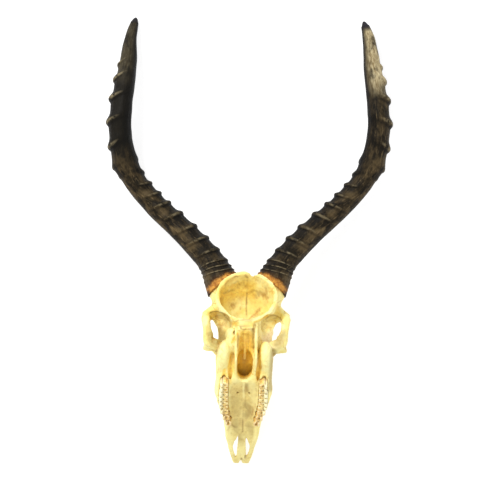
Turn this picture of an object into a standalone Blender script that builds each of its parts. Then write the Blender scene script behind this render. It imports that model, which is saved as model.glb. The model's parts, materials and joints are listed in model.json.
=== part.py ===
"""An impala's skull with both horns and no lower jaw, the back of its braincase sawn off.

It lies face down on flat ground, resting on the tips of the nose bones and on the two
horn tips, so that the palate and the sawn vault face up.

Skull frame, used for the bone and the teeth, in millimetres:
  x  to the animal's right
  a  along the snout: 0 near its tip, and falling towards the back of the head
  d  towards the forehead, 0 at the palate
Resting frame, used for the horns, in millimetres: X to the animal's right, Y from the snout
tip towards the horn tips, Z up.
"""
import math

import bmesh
import bpy
from mathutils import Matrix, Vector

MM = 0.001
GAP = 0.35                   # between neighbouring pieces

# Pose of the skull in the resting frame
PITCH = 38.0                 # snout droops this far below level, degrees
YAW = -1.4                   # the snout is a little skew to the horns, degrees
YAW_PIVOT = (0.0, 230.0, 0.0)

# Saw cut through the braincase: two points of its edge, in (a, d)
SAW_LOW = (-208.0, 33.0)
SAW_HIGH = (-240.0, 80.0)

# Face: stations of (a, bottom d, top d, half widths at the bottom, the middle and the top)
FACE = [
    (-14, 3, 10, 13.5, 14.5, 11), (-27, 2, 17, 16.5, 18, 15), (-42, 1, 25, 19.5, 21, 17),
    (-59, 0, 34, 21, 23, 17.5), (-72, -1, 42, 22, 26, 17), (-84, -3, 52, 25, 31, 15),
    (-96, -3, 57, 30, 35, 16), (-115, -3, 63, 33, 36, 20), (-130, -3, 69, 33, 36.5, 24),
    (-145, -3, 75, 31, 36, 29), (-158, 4, 80, 26, 33, 33), (-170, 14, 84, 17, 24, 35),
]
# Passage of the nose: stations of (a, bottom d, top d, half width)
NOSE = [
    (15, 10, 36, 9), (-14, 8, 37, 9.5), (-42, 6.5, 37, 15), (-70, 6, 45, 18),
    (-100, 8, 53, 21), (-130, 10, 62, 23), (-148, 14, 64, 18),
]
# Nose bones: stations of (a, d, half width, half thickness)
NASALS = [(-38, 41, 4, 1.5), (-46, 43, 8.5, 2), (-80, 52, 11, 2.4), (-112, 62, 13, 3),
          (-150, 76, 15, 4)]
# Front plate of the palate: stations of (a, d, half width, half thickness)
INCISIVE = [(9, 8, 8.5, 2), (4, 7.5, 11, 2.8), (-10, 6, 14, 2.8), (-25, 4.5, 17, 2.8),
            (-42, 3.5, 20, 3)]

# Rounded masses: centre (x, a, d), radii (x, a, d); those off the midline are mirrored
MASSES = [
    ((0, -224, 61), (40.5, 53, 29.5)),    # braincase
    ((0, -176, 66), (37, 33, 20)),        # forehead
    ((0, -178, 46), (19.5, 36, 27)),      # wall between the eye sockets
    ((0, -196, 30), (10, 26, 7)),         # floor of the braincase
    ((26, -163, 16), (8.5, 25, 15)),      # swelling behind the last tooth
    ((45, -178, 30), (8, 10, 5.5)),       # cheekbone
    ((12.4, -168, 12), (2.5, 31, 15)),    # plate beside the rear opening of the nose
]
# Round bars: chains of (x, a, d, radius), all mirrored
BARS = [
    [(25.5, -150, 70, 6), (31.5, -160, 75, 5.5), (37, -172, 77.5, 5.5), (43.5, -179, 75, 5.4),
     (48.5, -187, 67, 5), (50.5, -192, 58, 5), (49.5, -193, 50, 5.2), (47.5, -190, 40, 5.6),
     (46.5, -185, 33, 6.2), (45, -178, 29.5, 6.4), (37, -172, 30, 7.5)],   # ring of the socket
    [(33, -160, 34, 7), (30, -152, 52, 6.5), (25.5, -150, 70, 6)],   # its front edge
    [(28, -198, 82, 10), (40, -190, 77, 7), (49, -189, 68, 5)],      # brow behind the eye
    [(22, -192, 80, 18), (29, -206, 95, 20.5)],                      # horn pedicle
]
RIDGE = [(0, -166, 23, 1.8), (0, -180, 27, 2.2), (0, -204, 31, 3)]   # ridge in the nose's roof

# Hollows: centre, radii; those off the midline are mirrored
HOLLOWS = [
    ((0, -225, 60.5), (36, 47, 25)),      # brain
    ((0, -262, 66), (31, 40, 20)),        # its way out at the back
    ((46, -174, 50), (25, 18.5, 19)),     # eye socket
    ((36, -195, 32), (12.5, 22, 20)),     # gap inside the cheek arch
    ((33, -192, 46), (13.5, 15, 20)),     # room under the socket's roof
    ((8.2, -18, 4), (2.6, 18, 12)),       # slots of the front palate
    ((0, -104, -7), (17, 40, 9)),         # arch of the palate
    ((0, -155, 8), (10.5, 19, 23)),       # rear opening of the nose
    ((0, -185, 12), (9, 30, 13)),         # channel behind it
    ((0, 11, 7), (1.6, 6, 8)),            # notch at the snout tip
]
CHIP = ((11, -247, 94), (12, 16, 10))   # broken piece of the vault's rim, right side only

# Horn: centre line points in the resting frame, right side, and (distance along it, diameter)
HORN_LINE = [
    (31, 229, 51), (46.5, 259, 43), (81, 296, 33), (114, 326, 27), (142, 357, 26),
    (157.5, 387, 30), (165, 418, 34), (165, 448, 35.5), (161, 480, 31), (156.5, 511, 20.5),
    (153, 545, 6), (145, 577, -9.5),
]
HORN_DIAMETERS = [(0, 46), (15, 40), (35, 34), (86, 31.5), (131, 30.5), (173, 30), (207, 29.5),
                  (239, 28), (269, 26.5), (281, 26), (310, 24), (340, 20.8), (354, 18.8),
                  (376, 15), (398, 10), (404, 6), (407, 3)]
RING_CRESTS = [8, 16, 25, 40, 60, 81, 105, 126, 145, 164, 182, 200, 228, 256, 284, 309, 330]
RING_RISE = 1.5              # ring crests stand this far out
SMOOTH_END = [342, 360, 376, 390, 398, 404, 407]      # stations past the last ring
HORN_SIDES = 14
SHEATH_WALL = 3.6            # at the open end
SHEATH_START = -2.0          # the open end, on the distance scale
SHEATH_ROOM = 3.0            # bone is cleared this far around the open end
CORE_ROOT = 12.0             # the core starts this deep inside the pedicle
CORE_LENGTH = 170.0
CORE_STEPS = 9

# Upper cheek teeth: name, length along the row, width, x, a
TEETH = [
    ("m3", 15.4, 10.0, 24.4, -137.0), ("m2", 14.9, 11.4, 24.9, -121.2),
    ("m1", 11.9, 11.4, 24.9, -107.2), ("p4", 9.2, 10.4, 23.4, -96.0),
    ("p3", 9.0, 8.8, 20.9, -86.2), ("p2", 8.6, 7.6, 17.9, -76.8),
]
CROWN_TIP, GUM_LINE, ROOT_END = -12.5, -3.0, 6.0     # d of a tooth's levels
TOOTH_CORNER = 0.72          # how far the corners of its outline are pulled in
ROOT_TAPER, WORN_TAPER, WORN_EDGE = 0.80, 0.86, 2.5   # its size at the ends, height of its bevel
BASIN_RIM, BASIN_DEPTH = 1.6, 1.2

BONE_VOXEL = 2.0
BONE_TRIANGLES = 4300


# ---------------------------------------------------------------- basic helpers

def smooth_chain(points, steps):
    """Points along a Catmull-Rom curve through the given points, steps per span."""
    pts = [Vector(p) for p in points]
    ends = [2 * pts[0] - pts[1]] + pts + [2 * pts[-1] - pts[-2]]
    chain = []
    for i in range(len(pts) - 1):
        before, start, end, after = ends[i:i + 4]
        for k in range(steps):
            t = k / steps
            chain.append(0.5 * (2 * start + (end - before) * t
                                + (2 * before - 5 * start + 4 * end - after) * t ** 2
                                + (3 * start - before - 3 * end + after) * t ** 3))
    return chain + [pts[-1]]


def between(table, value):
    """Linear reading of a table of (position, reading)."""
    for (p0, r0), (p1, r1) in zip(table, table[1:]):
        if value <= p1:
            return r0 + (r1 - r0) * max(0.0, value - p0) / (p1 - p0)
    return table[-1][1]


def material(name, colour, roughness):
    made = bpy.data.materials.new(name)
    made.use_nodes = True
    shader = made.node_tree.nodes["Principled BSDF"]
    shader.inputs["Base Color"].default_value = (*colour, 1.0)
    shader.inputs["Roughness"].default_value = roughness
    shader.inputs["Metallic"].default_value = 0.0
    return made


def add_object(name, bm, parent=None, finish=None):
    """Object from a bmesh drawn in millimetres."""
    bmesh.ops.scale(bm, vec=(MM, MM, MM), verts=bm.verts)
    bmesh.ops.recalc_face_normals(bm, faces=bm.faces)
    mesh = bpy.data.meshes.new(name)
    bm.to_mesh(mesh)
    bm.free()
    made = bpy.data.objects.new(name, mesh)
    bpy.context.scene.collection.objects.link(made)
    made.parent = parent
    if finish:
        mesh.materials.append(finish)
    return made


def add_guide(name, bm, parent=None):
    """A cutter or filler that is not itself a piece."""
    made = add_object(name, bm, parent)
    made.hide_render = True
    made.display_type = 'WIRE'
    return made


def add_loft(bm, rings):
    """Closed skin over rings of equal point count, added to a bmesh."""
    loops = [[bm.verts.new(p) for p in ring] for ring in rings]
    count = len(loops[0])
    for low, high in zip(loops, loops[1:]):
        for i in range(count):
            j = (i + 1) % count
            bm.faces.new((low[i], low[j], high[j], high[i]))
    bm.faces.new(reversed(loops[0]))
    bm.faces.new(loops[-1])


def add_ball(bm, centre, radii):
    place = Matrix.Translation(centre) @ Matrix.Diagonal((*radii, 1.0))
    bmesh.ops.create_icosphere(bm, subdivisions=3, radius=1.0, matrix=place)


def add_bar(bm, chain, mirror):
    """Round bar through (x, a, d, radius) points, drawn as balls and cones."""
    side = -1.0 if mirror else 1.0
    stops = [(Vector((side * x, a, d)), r) for x, a, d, r in chain]
    for point, radius in stops:
        add_ball(bm, point, (radius, radius, radius))
    for (p, r), (q, s) in zip(stops, stops[1:]):
        turn = (q - p).to_track_quat('Z', 'Y').to_matrix().to_4x4()
        place = Matrix.Translation((p + q) / 2) @ turn
        bmesh.ops.create_cone(bm, cap_ends=True, segments=20, radius1=r, radius2=s,
                              depth=(q - p).length, matrix=place)


def oval_ring(a, middle, half_width, half_height, points=16, squareness=2.4):
    """Superellipse across the snout at station a."""
    ring = []
    for i in range(points):
        angle = 2 * math.pi * i / points
        c, s = math.cos(angle), math.sin(angle)
        ring.append((half_width * math.copysign(abs(c) ** (2 / squareness), c), a,
                     middle + half_height * math.copysign(abs(s) ** (2 / squareness), s)))
    return ring


def face_ring(station, points=20):
    """Cross-section of the face: an oval whose half width changes with height."""
    a, bottom, top, low, mid, high = station
    ring = []
    for x, _, d in oval_ring(a, 0.0, 1.0, 1.0, points, 3.0):
        width = mid + (high - mid) * d if d > 0 else mid + (mid - low) * d
        ring.append((x * width, a, (bottom + top) / 2 + d * (top - bottom) / 2))
    return ring


def mirrored(entries):
    """Each (centre, radii) entry, and its mirror image where it is off the midline."""
    for (x, a, d), radii in entries:
        yield (x, a, d), radii
        if x > 0:
            yield (-x, a, d), radii


def apply_modifiers(thing):
    """Keep the evaluated mesh and drop the modifiers."""
    graph = bpy.context.evaluated_depsgraph_get()
    mesh = bpy.data.meshes.new_from_object(thing.evaluated_get(graph))
    thing.modifiers.clear()
    thing.data = mesh


def remesh(thing, voxel):
    step = thing.modifiers.new("remesh", 'REMESH')
    step.mode = 'VOXEL'
    step.voxel_size = voxel * MM


def boolean(thing, other, operation='DIFFERENCE'):
    step = thing.modifiers.new(operation.lower(), 'BOOLEAN')
    step.operation = operation
    step.solver = 'EXACT'
    step.object = other


# ---------------------------------------------------------------- horns

def horn_frames(side, steps=16):
    """(distance, centre, direction, across, depth) along the horn, in the resting frame."""
    chain = smooth_chain([(side * x, y, z) for x, y, z in HORN_LINE], steps)
    frames, distance = [], 0.0
    for i, point in enumerate(chain):
        if i:
            distance += (point - chain[i - 1]).length
        ahead = chain[min(i + 1, len(chain) - 1)] - chain[max(i - 1, 0)]
        direction = ahead.normalized()
        across = direction.cross(Vector((0, 0, 1))).normalized()
        frames.append((distance, point, direction, across, across.cross(direction)))
    return frames


def frame_at(frames, distance):
    """Frame at a distance along the horn; before its start, the first one slid back."""
    if distance <= 0:
        _, point, direction, across, depth = frames[0]
        return point + direction * distance, direction, across, depth
    for low, high in zip(frames, frames[1:]):
        if distance <= high[0]:
            t = (distance - low[0]) / (high[0] - low[0])
            return tuple(p.lerp(q, t) for p, q in zip(low[1:], high[1:]))
    return frames[-1][1:]


def horn_ring(frames, distance, radius, sides=HORN_SIDES):
    centre, _, across, depth = frame_at(frames, distance)
    turns = [2 * math.pi * i / sides for i in range(sides)]
    return [centre + radius * (math.cos(t) * across + math.sin(t) * depth) for t in turns]


def core_radius(distance):
    """Radius of the bony core inside the sheath."""
    start = HORN_DIAMETERS[0][1] / 2 - SHEATH_WALL - GAP
    taper = max(0.0, distance) / CORE_LENGTH
    return start * (1 - taper) ** 0.8 + 2.0 * taper if taper < 1 else 2.0


def hollow_radius(distance):
    """Radius of the core, kept inside the sheath's wall."""
    outer = between(HORN_DIAMETERS, distance) / 2
    return min(core_radius(distance), outer - SHEATH_WALL - GAP)


def ring_stations():
    """(distance, outer radius) along the sheath: a trough, then a crest, for every ring."""
    stations = [(SHEATH_START, HORN_DIAMETERS[0][1] / 2)]
    for i, crest in enumerate(RING_CRESTS):
        room = crest - (RING_CRESTS[i - 1] if i else 0)
        trough = crest - 0.35 * room
        rise = RING_RISE * min(1.0, room / 16.0)
        stations.append((trough, between(HORN_DIAMETERS, trough) / 2 - 0.4 * rise))
        stations.append((crest, between(HORN_DIAMETERS, crest) / 2 + rise))
    for distance in SMOOTH_END:
        stations.append((distance, between(HORN_DIAMETERS, distance) / 2))
    return stations


def build_sheath(side, name, finish):
    """Horny sheath, hollow over the bony core."""
    frames = horn_frames(side)
    bm = bmesh.new()
    outer = [horn_ring(frames, s, r) for s, r in ring_stations()]
    depths = [CORE_LENGTH * i / CORE_STEPS for i in range(CORE_STEPS, -1, -1)]
    inner = [horn_ring(frames, s + GAP, hollow_radius(s) + GAP) for s in depths]
    inner.append(horn_ring(frames, SHEATH_START, hollow_radius(0) + GAP))
    loops = [[bm.verts.new(p) for p in ring] for ring in inner + outer]
    for low, high in zip(loops, loops[1:]):
        for i in range(HORN_SIDES):
            j = (i + 1) % HORN_SIDES
            bm.faces.new((low[i], low[j], high[j], high[i]))
    bm.faces.new(reversed(loops[0]))
    bm.faces.new(loops[-1])
    bmesh.ops.triangulate(bm, faces=bm.faces)
    return add_object(name, bm, finish=finish)


def core_loft(side):
    """Bony core, from inside the pedicle up to its rounded end."""
    frames = horn_frames(side)
    bm = bmesh.new()
    rings = [horn_ring(frames, -CORE_ROOT, hollow_radius(0) - 1.0)]
    for i in range(CORE_STEPS + 1):
        s = CORE_LENGTH * i / CORE_STEPS
        rings.append(horn_ring(frames, s, hollow_radius(s)))
    add_loft(bm, rings)
    bmesh.ops.triangulate(bm, faces=bm.faces)
    return bm


def sheath_clearance(side):
    """Room that the bone leaves free for the sheath."""
    frames = horn_frames(side)
    bm = bmesh.new()
    add_loft(bm, [horn_ring(frames, s, between(HORN_DIAMETERS, s) / 2 + SHEATH_ROOM)
                  for s in (SHEATH_START - 1.0, 12.0, 30.0, 48.0)])
    return bm


# ---------------------------------------------------------------- bone

def add_plate(bm, stations):
    """Flat bone along the snout from (a, d, half width, half thickness) stations."""
    add_loft(bm, [oval_ring(a, d, width, thick) for a, d, width, thick in stations])


def build_bone_masses():
    bm = bmesh.new()
    add_loft(bm, [face_ring(station) for station in FACE])
    add_plate(bm, NASALS)
    add_plate(bm, INCISIVE)
    for centre, radii in mirrored(MASSES):
        add_ball(bm, centre, radii)
    for chain in BARS:
        add_bar(bm, chain, False)
        add_bar(bm, chain, True)
    add_bar(bm, RIDGE, False)
    return bm


def build_hollows():
    bm = bmesh.new()
    add_loft(bm, [oval_ring(a, (low + high) / 2, width, (high - low) / 2, squareness=3.0)
                  for a, low, high, width in NOSE])
    for centre, radii in mirrored(HOLLOWS):
        add_ball(bm, centre, radii)
    add_ball(bm, *CHIP)
    return bm


def saw_normal():
    """Outward normal of the saw cut, in the skull frame."""
    run, rise = SAW_HIGH[0] - SAW_LOW[0], SAW_HIGH[1] - SAW_LOW[1]
    return Vector((0.0, -rise, run)).normalized()


def saw_block():
    """Everything behind the saw cut."""
    bm = bmesh.new()
    normal = saw_normal()
    turn = normal.to_track_quat('Z', 'Y').to_matrix().to_4x4()
    middle = Vector((0.0, (SAW_LOW[0] + SAW_HIGH[0]) / 2, (SAW_LOW[1] + SAW_HIGH[1]) / 2))
    size = 200.0
    place = Matrix.Translation(middle + normal * size / 2) @ turn
    bmesh.ops.create_cube(bm, size=size, matrix=place)
    return bm


def tooth_outline(length, width, grow=0.0):
    """Rounded rectangle, eight points, around the tooth's own middle."""
    half_a, half_x = length / 2 + grow, width / 2 + grow
    cut_a, cut_x = half_a * TOOTH_CORNER, half_x * TOOTH_CORNER
    return [(half_x, -cut_a), (half_x, cut_a), (cut_x, half_a), (-cut_x, half_a),
            (-half_x, cut_a), (-half_x, -cut_a), (-cut_x, -half_a), (cut_x, -half_a)]


def tooth_loft(tooth, side, socket=False):
    """Tooth with its root, or the socket that it stands in."""
    _, length, width, x, a = tooth
    levels = [(ROOT_END, ROOT_TAPER), (GUM_LINE, 1.0), (CROWN_TIP + WORN_EDGE, 1.0),
              (CROWN_TIP, WORN_TAPER)]
    grow = 0.0
    if socket:
        levels = [(ROOT_END + GAP, ROOT_TAPER), (GUM_LINE, 1.0), (CROWN_TIP, 1.0)]
        grow = GAP
    bm = bmesh.new()
    rings = []
    for d, share in levels:
        outline = tooth_outline(length * share, width * share, grow)
        rings.append([(side * x + px, a + py, d) for px, py in outline])
    add_loft(bm, rings)
    return bm


def build_tooth(tooth, side, parent, finish):
    """Tooth whose worn top is hollowed into a shallow basin."""
    bm = tooth_loft(tooth, side)
    top = min(bm.faces, key=lambda face: face.calc_center_median().z)
    bmesh.ops.inset_region(bm, faces=[top], thickness=BASIN_RIM, depth=-BASIN_DEPTH)
    bmesh.ops.triangulate(bm, faces=bm.faces)
    side_name = "right" if side > 0 else "left"
    return add_object(f"tooth_{side_name}_{tooth[0]}", bm, parent, finish)


def build_cranium(skull, finish):
    """Skull bone in one piece, its hollows, the saw cut, the tooth sockets and horn cores."""
    bone = add_object("cranium", build_bone_masses(), skull, finish)
    remesh(bone, BONE_VOXEL)
    hollows = add_guide("hollows", build_hollows(), skull)
    remesh(hollows, BONE_VOXEL)
    apply_modifiers(hollows)
    boolean(bone, hollows)
    remesh(bone, BONE_VOXEL)
    soften = bone.modifiers.new("soften", 'SMOOTH')
    soften.factor = 0.5
    soften.iterations = 4
    apply_modifiers(bone)
    thin = bone.modifiers.new("thin", 'DECIMATE')
    thin.ratio = min(1.0, BONE_TRIANGLES / (2 * len(bone.data.polygons)))
    apply_modifiers(bone)

    to_skull = skull.matrix_world.inverted()
    for side in (1, -1):
        room = add_guide("sheath_room", sheath_clearance(side))
        core = add_guide("core", core_loft(side))
        for guide in (room, core):
            guide.data.transform(to_skull)
            guide.parent = skull
        boolean(bone, room)
        boolean(bone, core, 'UNION')
        for tooth in TEETH:
            boolean(bone, add_guide("socket", tooth_loft(tooth, side, socket=True), skull))
    boolean(bone, add_guide("saw", saw_block(), skull))
    apply_modifiers(bone)
    bone.data.materials.clear()
    bone.data.materials.append(finish)
    bone.data.shade_smooth()
    bone.data.set_sharp_from_angle(angle=math.radians(40))
    return bone


# ---------------------------------------------------------------- whole object

def skull_pose():
    """Empty that turns the skull frame over into the resting frame."""
    pose = bpy.data.objects.new("skull_pose", None)
    bpy.context.scene.collection.objects.link(pose)
    turn_over = Matrix.Rotation(math.pi + math.radians(PITCH), 4, 'X')
    pivot = Matrix.Translation(Vector(YAW_PIVOT) * MM)
    yaw = Matrix.Rotation(math.radians(YAW), 4, 'Z')
    pose.matrix_world = pivot @ yaw @ pivot.inverted() @ turn_over
    bpy.context.view_layer.update()
    return pose


def stand_on_origin(pieces, movers):
    """Shift everything so that the box of the pieces stands on the origin."""
    bpy.context.view_layer.update()
    corners = [piece.matrix_world @ vertex.co for piece in pieces for vertex in piece.data.vertices]
    low = [min(c[i] for c in corners) for i in range(3)]
    high = [max(c[i] for c in corners) for i in range(3)]
    shift = Vector((-(low[0] + high[0]) / 2, -(low[1] + high[1]) / 2, -low[2]))
    for mover in movers:
        mover.matrix_world = Matrix.Translation(shift) @ mover.matrix_world


def main():
    for old in list(bpy.data.objects):
        bpy.data.objects.remove(old)
    bone_finish = material("bone", (0.86, 0.78, 0.50), 0.5)
    horn_finish = material("horn", (0.045, 0.035, 0.022), 0.45)
    tooth_finish = material("tooth", (0.88, 0.80, 0.60), 0.35)

    skull = skull_pose()
    pieces = [build_cranium(skull, bone_finish)]
    for side in (-1, 1):
        for tooth in TEETH:
            pieces.append(build_tooth(tooth, side, skull, tooth_finish))
    sheaths = [build_sheath(-1, "horn_sheath_left", horn_finish),
               build_sheath(1, "horn_sheath_right", horn_finish)]
    for sheath in sheaths:
        sheath.data.shade_smooth()
        sheath.data.set_sharp_from_angle(angle=math.radians(50))
    stand_on_origin(pieces + sheaths, [skull] + sheaths)


main()
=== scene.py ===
"""Impala skull with its horns, lying on its face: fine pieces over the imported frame.

The bone and the teeth are carved from signed-distance fields in the skull's own axes (x right,
a forward, d towards the top of the head, millimetres), and the horn sheaths are swept along their
curve. Every piece rides with the one body and stands for the CAD node of its own name.
"""
import itertools
import json
import math

import bpy
import numpy as np
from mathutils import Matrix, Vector


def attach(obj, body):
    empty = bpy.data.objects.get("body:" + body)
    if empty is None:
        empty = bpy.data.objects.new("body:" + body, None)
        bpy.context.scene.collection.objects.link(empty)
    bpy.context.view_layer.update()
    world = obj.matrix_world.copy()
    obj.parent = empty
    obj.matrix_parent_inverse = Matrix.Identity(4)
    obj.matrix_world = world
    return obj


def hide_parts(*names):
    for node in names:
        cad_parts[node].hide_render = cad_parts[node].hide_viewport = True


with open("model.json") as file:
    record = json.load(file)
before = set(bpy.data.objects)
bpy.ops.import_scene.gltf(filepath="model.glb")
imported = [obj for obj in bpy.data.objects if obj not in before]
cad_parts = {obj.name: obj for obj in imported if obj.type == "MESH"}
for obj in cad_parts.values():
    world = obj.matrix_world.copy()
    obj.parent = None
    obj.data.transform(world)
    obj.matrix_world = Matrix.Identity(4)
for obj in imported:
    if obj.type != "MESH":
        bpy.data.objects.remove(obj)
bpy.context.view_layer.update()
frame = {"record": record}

MM = 0.001
SIDES = {1: "right", -1: "left"}
SKULL_GRID, TOOTH_GRID = ((1.0, 0.42))
SHEATH_STEP, SHEATH_SIDES = ((0.62, 100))
MOST_TRIANGLES = 190000
LATTICE = 32                             # random numbers along each side of the noise's block
FAR = 30.0                               # mm, what a field starts with

# ---- where things are
PITCH = math.radians(38.0)               # the snout droops this far below level
YAW = math.radians(-1.4)                 # and is a little skew to the horns
YAW_PIVOT = np.array((0.0, 230.0, 0.0))
SAW_POINT = np.array((0.0, -205.96, 30.0))     # of the mount on the saw cut, in skull axes
SAW_LOW, SAW_HIGH = (-208.0, 33.0), (-240.0, 80.0)


def turn_matrix(degrees_xyz):
    """Rotation about x, then a, then d."""
    result = np.eye(3)
    for axis, angle in enumerate(degrees_xyz):
        c, s = math.cos(math.radians(angle)), math.sin(math.radians(angle))
        one = np.eye(3)
        i, j = (axis + 1) % 3, (axis + 2) % 3
        one[i, i], one[i, j], one[j, i], one[j, j] = c, -s, s, c
        result = one @ result
    return result


YAW_TURN = turn_matrix((0, 0, math.degrees(YAW)))
SKULL_TURN = YAW_TURN @ turn_matrix((180 + math.degrees(PITCH), 0, 0))
SAW_MOUNT = next(m for m in frame["record"]["mounts"] if m["name"] == "saw_cut")
SKULL_OFFSET = np.array(SAW_MOUNT["pos_m"]) / MM - SKULL_TURN @ SAW_POINT
HORN_OFFSET = SKULL_OFFSET - YAW_PIVOT + YAW_TURN @ YAW_PIVOT


def to_rest(points):
    """Skull axes in mm to the resting frame in metres."""
    return (points @ SKULL_TURN.T + SKULL_OFFSET) * MM


def to_skull(points):
    """Resting frame in mm to skull axes in mm."""
    return (points - SKULL_OFFSET) @ SKULL_TURN


def smooth_chain(points, steps):
    """Catmull-Rom curve through rows of numbers."""
    rows = [np.array(p, float) for p in points]
    rows = [2 * rows[0] - rows[1]] + rows + [2 * rows[-1] - rows[-2]]
    result = []
    for p, q, r, s in zip(rows, rows[1:], rows[2:], rows[3:]):
        for i in range(steps):
            t = i / steps
            result.append(0.5 * (2 * q + (r - p) * t + (2 * p - 5 * q + 4 * r - s) * t ** 2
                                 + (3 * q - p - 3 * r + s) * t ** 3))
    return np.array(result + [rows[-2]])


def ramp(low, high, value):
    """Nought at low, one at high, and smooth between."""
    t = np.clip((value - low) / (high - low), 0, 1)
    return t * t * (3 - 2 * t)


def noise(points, size, seed):
    """Smooth noise from -1 to 1, with lumps of about that size."""
    lattice = np.random.default_rng(seed).uniform(-1, 1, (LATTICE,) * 3)
    q = np.asarray(points, float) / size + seed * 7.31
    base = np.floor(q).astype(int)
    part = q - base
    part = part * part * (3 - 2 * part)
    total = 0.0
    for corner in itertools.product((0, 1), repeat=3):
        weight = np.prod(np.where(corner, part, 1 - part), axis=-1)
        total = total + weight * lattice[tuple(np.moveaxis((base + corner) % LATTICE, -1, 0))]
    return total


def along_floor(a, d):
    """Distance from the snout tip along the ground plan, as the skull rests."""
    return math.sin(PITCH) * d - math.cos(PITCH) * a


def level(x, along, up):
    """Skull axes of a point given as it rests: along the floor towards the horns, and up."""
    c, s = math.cos(PITCH), math.sin(PITCH)
    return (x, -c * along - s * up, s * along - c * up)


# ---- shapes for the fields
# Each is its lowest corner, its highest corner and its distance at (x, a, d).
def own_axes(centre, matrix, x, a, d):
    """A point measured from a shape's centre, along its turned axes."""
    p = (x - centre[0], a - centre[1], d - centre[2])
    return [sum(matrix[i, j] * p[i] for i in range(3)) for j in range(3)]


def ball(centre, radii, turn=(0, 0, 0)):
    c, r, matrix = np.array(centre, float), np.array(radii, float), turn_matrix(turn)

    def distance(x, a, d):
        own = [v / size for v, size in zip(own_axes(c, matrix, x, a, d), r)]
        near = np.sqrt(sum(v * v for v in own))
        steep = np.sqrt(sum((v / size) ** 2 for v, size in zip(own, r))) + 1e-6
        return near * (near - 1) / steep
    reach = np.abs(matrix) @ r
    return c - reach, c + reach, distance


def block(centre, half, edge, turn=(0, 0, 0)):
    """Box with rounded edges, turned about its centre."""
    c, h, matrix = np.array(centre, float), np.array(half, float), turn_matrix(turn)

    def distance(x, a, d):
        q = [np.abs(v) - (size - edge) for v, size in zip(own_axes(c, matrix, x, a, d), h)]
        out = np.sqrt(sum(np.maximum(v, 0) ** 2 for v in q))
        return out + np.minimum(np.maximum(np.maximum(q[0], q[1]), q[2]), 0) - edge
    reach = np.abs(matrix) @ h
    return c - reach, c + reach, distance


def rod(chain, steps=4):
    """Tube through (x, a, d, radius) points."""
    rows = smooth_chain(chain, steps) if steps > 1 else np.array(chain, float)

    def distance(x, a, d):
        best = None
        for p, q in zip(rows, rows[1:]):
            run = q[:3] - p[:3]
            t = ((x - p[0]) * run[0] + (a - p[1]) * run[1] + (d - p[2]) * run[2]) / (run @ run)
            t = np.clip(t, 0, 1)
            near = np.sqrt((x - p[0] - t * run[0]) ** 2 + (a - p[1] - t * run[1]) ** 2
                           + (d - p[2] - t * run[2]) ** 2) - (p[3] + t * (q[3] - p[3]))
            best = near if best is None else np.minimum(best, near)
        return best
    low = (rows[:, :3] - rows[:, 3:]).min(axis=0)
    high = (rows[:, :3] + rows[:, 3:]).max(axis=0)
    return low, high, distance


def prism(outline, low_d, high_d):
    """Everything straight above and below an outline on the ground plan, between two depths."""
    corners = np.array(outline, float)

    def distance(x, a, d):
        along = along_floor(a, d)
        near, inside = 1e9, False
        for p, q in zip(corners, np.roll(corners, -1, axis=0)):
            run = q - p
            t = np.clip(((x - p[0]) * run[0] + (along - p[1]) * run[1]) / (run @ run), 0, 1)
            near = np.minimum(near, np.hypot(x - p[0] - t * run[0], along - p[1] - t * run[1]))
            crossed = (along < p[1]) != (along < q[1])
            inside = inside ^ (crossed & (x < p[0] + (along - p[1]) * run[0] / (run[1] + 1e-9)))
        return np.maximum(np.where(inside, -near, near), np.maximum(low_d - d, d - high_d))
    (low_x, low_r), (high_x, high_r) = corners.min(axis=0), corners.max(axis=0)
    c, s = math.cos(PITCH), math.sin(PITCH)
    return (np.array((low_x, (s * low_d - high_r) / c, low_d)),
            np.array((high_x, (s * high_d - low_r) / c, high_d)), distance)


def flipped(shape):
    low, high, distance = shape
    return (np.array((-high[0], low[1], low[2])), np.array((-low[0], high[1], high[2])),
            lambda x, a, d: distance(-x, a, d))


def join(p, q, blend):
    """The smaller of two distances, rounded where they meet."""
    if blend <= 0:
        return np.minimum(p, q)
    near = np.maximum(blend - np.abs(p - q), 0) / blend
    return np.minimum(p, q) - near * near * blend / 4


def meet(p, q, blend):
    return -join(-p, -q, blend)


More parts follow.
